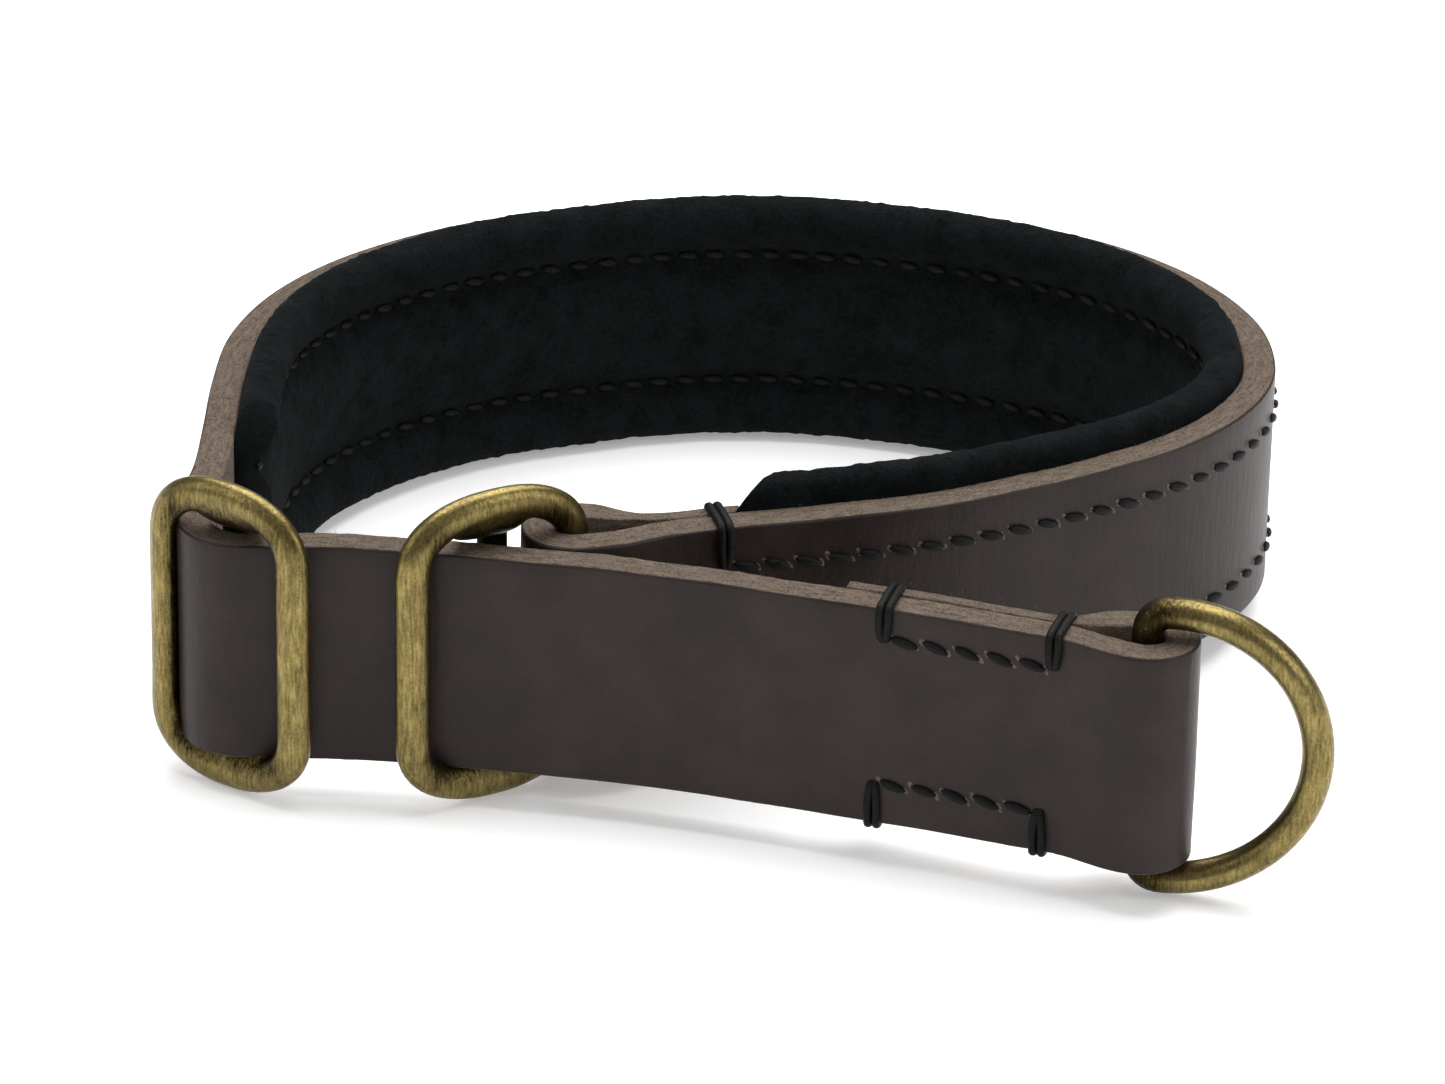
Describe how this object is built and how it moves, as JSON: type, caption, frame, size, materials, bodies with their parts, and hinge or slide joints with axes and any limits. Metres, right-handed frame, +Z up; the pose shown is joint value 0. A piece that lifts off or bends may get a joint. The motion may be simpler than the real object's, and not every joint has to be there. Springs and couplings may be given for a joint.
{
  "type": "martingale collar",
  "caption": "Padded leather dog collar of limited-slip type: a pull strap with a leash ring runs through a slip slider and a stop slider, so the loop tightens only so far.",
  "frame": {"origin": "middle of the overall box, on the surface that the collar stands on", "axes": "+Z up, +X towards the leash ring along the pull strap, +Y away from the pull strap towards the back of the padded band"},
  "size_m": [0.1248, 0.1168, 0.0361],
  "materials": {
    "strap_leather": "greased full-grain strap leather, dark grey-brown, satin, with raw light-brown cut edges",
    "suede_lining": "black split suede with a soft nap",
    "foam_core": "soft closed-cell foam, hidden",
    "waxed_thread": "black waxed polyester thread",
    "antique_brass": "cast, antiqued and tumbled, with dark recesses and bright worn edges"
  },
  "bodies": {
    "pull_side": {"outer_strap_left": "strap_leather", "lining_left": "suede_lining", "padding_left": "foam_core", "upper_seam_left": "waxed_thread", "lower_seam_left": "waxed_thread", "ring_lashing_upper": "waxed_thread", "ring_lashing_lower": "waxed_thread"},
    "free_side": {"outer_strap_right": "strap_leather", "lining_right": "suede_lining", "padding_right": "foam_core", "upper_seam_right": "waxed_thread", "lower_seam_right": "waxed_thread", "loop_lashing_upper": "waxed_thread", "loop_lashing_lower": "waxed_thread"},
    "slip_slider": {"slip_slider": "antique_brass"},
    "stop_slider": {"stop_slider": "antique_brass"},
    "leash_ring": {"d_ring": "antique_brass"}
  },
  "joints": [
    {"name": "band_flex", "type": "hinge", "parent": "pull_side", "child": "free_side", "pos_m": [-0.01268, 0.05381, 0.01515], "axis": [0, 0.0218, 0.9998], "range_deg": [-2, 6]},
    {"name": "slip_swivel", "type": "hinge", "parent": "free_side", "child": "slip_slider", "pos_m": [-0.01658, -0.02937, 0.01696], "axis": [0, 0.0218, 0.9998], "range_deg": [-4, 2]},
    {"name": "stop_rock", "type": "hinge", "parent": "pull_side", "child": "stop_slider", "pos_m": [-0.05139, -0.03011, 0.01698], "axis": [0, 0.0218, 0.9998], "range_deg": [-2, 2]},
    {"name": "ring_swing", "type": "hinge", "parent": "pull_side", "child": "leash_ring", "pos_m": [0.04276, -0.05257, 0.01747], "axis": [0, 0.0218, 0.9998], "range_deg": [-110, 110]}
  ],
  "couplings": [
    {"joint": "slip_swivel", "follows": "band_flex", "ratio": -0.6}
  ]
}
